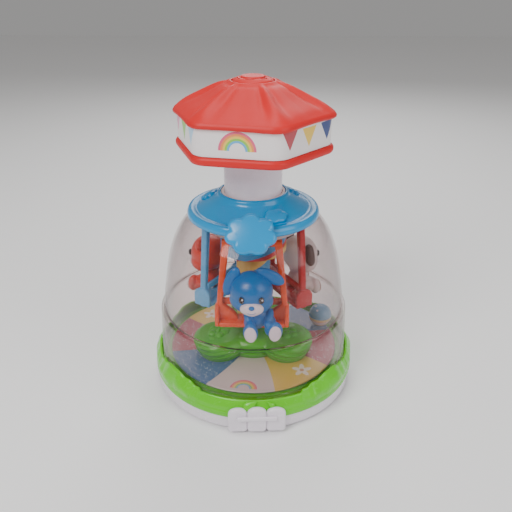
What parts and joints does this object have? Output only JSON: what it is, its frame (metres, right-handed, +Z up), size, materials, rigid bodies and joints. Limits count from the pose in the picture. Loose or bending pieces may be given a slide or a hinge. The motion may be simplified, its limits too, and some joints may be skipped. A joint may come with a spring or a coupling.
{
  "type": "push-down carousel toy",
  "caption": "Push-down spinning carousel toy: pressing the hexagonal hat turns a carousel of animal swings inside a clear dome on a green and white base.",
  "frame": {"origin": "on the turning axis, at the height the feet stand on", "axes": "+Z up along the turning axis, -Y the front with the stop button and one picket fence, +X the viewer's right from the front"},
  "size_m": [0.174, 0.183, 0.2602],
  "materials": {
    "white_shell": "glossy white moulded plastic",
    "green_shell": "glossy lime green moulded plastic",
    "green_platform": "glossy leaf green moulded plastic",
    "clear_skirt": "clear moulded plastic",
    "clear_dome": "clear moulded plastic with a faint smoky tint",
    "blue_shell": "glossy blue moulded plastic",
    "red_hat": "glossy red moulded plastic",
    "printed_band": "white plastic with printed bunting",
    "printed_floor": "plastic disc with a printed face in eight colours",
    "orange_swing": "glossy orange moulded plastic",
    "sky_swing": "glossy light blue moulded plastic",
    "red_swing": "glossy red moulded plastic",
    "blue_animal": "painted vinyl, blue",
    "coral_animal": "painted vinyl, orange red",
    "cream_animal": "painted vinyl, off white",
    "white_face": "painted vinyl, white",
    "brown_ear": "painted vinyl, dark brown",
    "white_works": "natural white moulded plastic",
    "blue_ball": "glossy blue plastic",
    "yellow_ball": "glossy yellow plastic",
    "steel": "plain steel wire and screws",
    "rubber": "soft rubber"
  },
  "bodies": {
    "base": {"base_pan": "white_shell", "base_cover": "green_shell", "rubber_foot_1": "rubber", "rubber_foot_2": "rubber", "rubber_foot_3": "rubber", "base_screw_1": "steel", "base_screw_2": "steel", "base_screw_3": "steel", "pivot_pin": "steel", "dome_skirt": "clear_skirt", "dome": "clear_dome", "collar": "blue_shell", "guide_bush": "white_works", "brake_pin": "steel"},
    "plunger": {"hat_rim": "red_hat", "hat_band": "printed_band", "hat_roof": "red_hat", "hat_cap": "red_hat", "plunger_tube": "white_shell", "drive_nut": "white_works", "hat_screw_1": "steel", "hat_screw_2": "steel", "hat_screw_3": "steel", "return_spring": "steel"},
    "spindle": {"spindle": "steel"},
    "pawl_1": {"clutch_pawl_1": "white_works"},
    "pawl_2": {"clutch_pawl_2": "white_works"},
    "carousel": {"rotor_hub": "white_works", "floor_disc": "printed_floor", "platform": "green_platform", "carousel_screw_1": "steel", "carousel_screw_2": "steel", "carousel_screw_3": "steel", "column": "blue_shell", "crown_cup": "white_works", "swing_ring": "white_works"},
    "swing_front": {"swing_frame_front": "orange_swing", "swing_pin_front": "steel", "bunny_head": "blue_animal", "bunny_body": "blue_animal", "bunny_muzzle": "white_face", "bunny_ear_left": "blue_animal", "bunny_ear_right": "blue_animal"},
    "swing_left": {"swing_frame_left": "sky_swing", "swing_pin_left": "steel", "bear_head": "coral_animal", "bear_body": "coral_animal", "bear_muzzle": "cream_animal"},
    "swing_right": {"swing_frame_right": "red_swing", "swing_pin_right": "steel", "puppy_head": "cream_animal", "puppy_body": "cream_animal", "puppy_muzzle": "white_face", "puppy_ear_left": "brown_ear", "puppy_ear_right": "brown_ear"},
    "stop_button": {"brake_button": "blue_shell", "brake_pad": "rubber"},
    "ball": {"ball_upper": "blue_ball", "ball_lower": "yellow_ball"}
  },
  "joints": [
    {"name": "plunger_push", "type": "slide", "parent": "base", "child": "plunger", "axis": [0, 0, 1], "range_m": [-0.026, 0], "stiffness_N_per_m": 250, "springref_m": 0.012, "deforming": ["return_spring"]},
    {"name": "spindle_turn", "type": "hinge", "parent": "base", "child": "spindle", "pos_m": [0, 0, 0.03], "axis": [0, 0, 1], "range_deg": [0, 271]},
    {"name": "pawl_1_pivot", "type": "hinge", "parent": "spindle", "child": "pawl_1", "pos_m": [0.0072, 0, 0.017], "axis": [0, 0, 1], "range_deg": [-18, 0]},
    {"name": "pawl_2_pivot", "type": "hinge", "parent": "spindle", "child": "pawl_2", "pos_m": [-0.0072, 0, 0.017], "axis": [0, 0, 1], "range_deg": [-18, 0]},
    {"name": "carousel_spin", "type": "hinge", "parent": "base", "child": "carousel", "pos_m": [0, 0, 0.03], "axis": [0, 0, 1], "continuous": true},
    {"name": "swing_front_pivot", "type": "hinge", "parent": "carousel", "child": "swing_front", "pos_m": [0, -0.033, 0.1405], "axis": [-1, 0, 0], "range_deg": [0, 6]},
    {"name": "swing_left_pivot", "type": "hinge", "parent": "carousel", "child": "swing_left", "pos_m": [-0.02858, 0.0165, 0.1405], "axis": [0.5, 0.866, 0], "range_deg": [0, 6]},
    {"name": "swing_right_pivot", "type": "hinge", "parent": "carousel", "child": "swing_right", "pos_m": [0.02858, 0.0165, 0.1405], "axis": [0.5, -0.866, 0], "range_deg": [0, 6]},
    {"name": "stop_press", "type": "hinge", "parent": "base", "child": "stop_button", "pos_m": [0, -0.05, 0.1566], "axis": [1, 0, 0], "range_deg": [0, 3.2], "stiffness_Nm_per_rad": 0.05, "springref_deg": -17.19},
    {"name": "ball_roll_round", "type": "hinge", "parent": "carousel", "child": "ball", "pos_m": [0, 0, 0.0395], "axis": [0, 0, 1], "continuous": true}
  ],
  "couplings": [
    {"joint": "spindle_turn", "follows": "plunger_push", "rad_per_m": -181.25}
  ]
}
